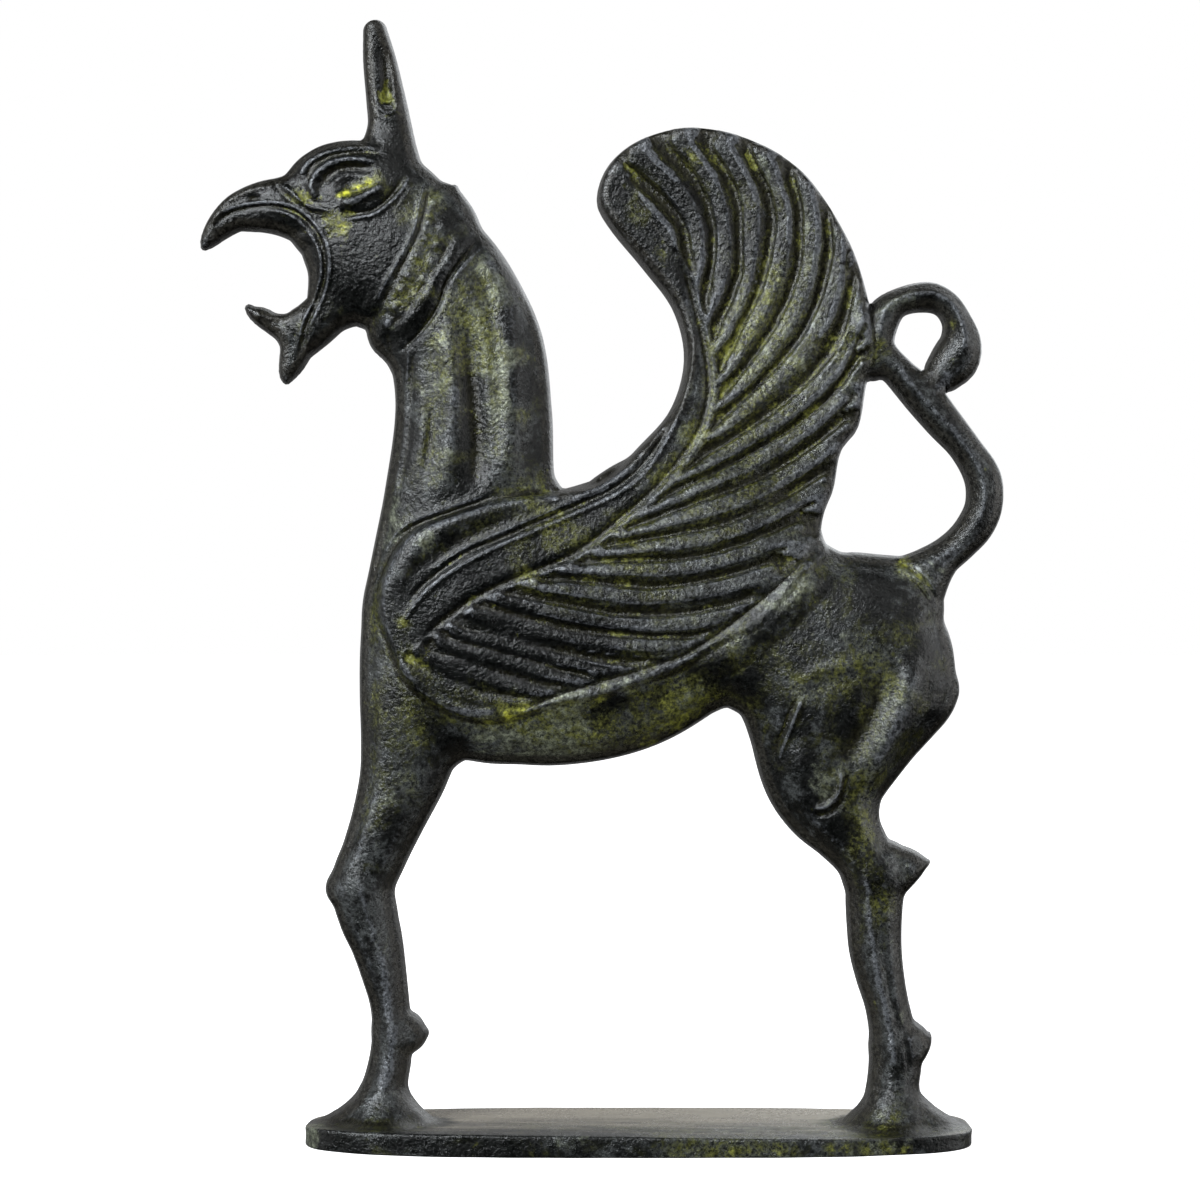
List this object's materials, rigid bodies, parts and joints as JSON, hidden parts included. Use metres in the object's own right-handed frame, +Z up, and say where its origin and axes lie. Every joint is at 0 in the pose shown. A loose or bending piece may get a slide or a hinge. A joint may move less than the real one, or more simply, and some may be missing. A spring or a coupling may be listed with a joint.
{
  "type": "griffin statue",
  "caption": "Small flat bronze griffin with an open beak, one tall ear, a raised feathered wing and a curled tail, standing on a thin oval plinth.",
  "frame": {"origin": "middle of the plinth's underside, on the surface that the statue stands on", "axes": "+Z up, -X the way the griffin looks, Y across its thickness"},
  "size_m": [0.1285, 0.03, 0.1792],
  "materials": {
    "bronze": "dark patinated bronze, near-black green with yellow-green in the hollows and duller rubbed high spots"
  },
  "bodies": {
    "root": {"griffin_statue": "bronze"}
  },
  "joints": []
}
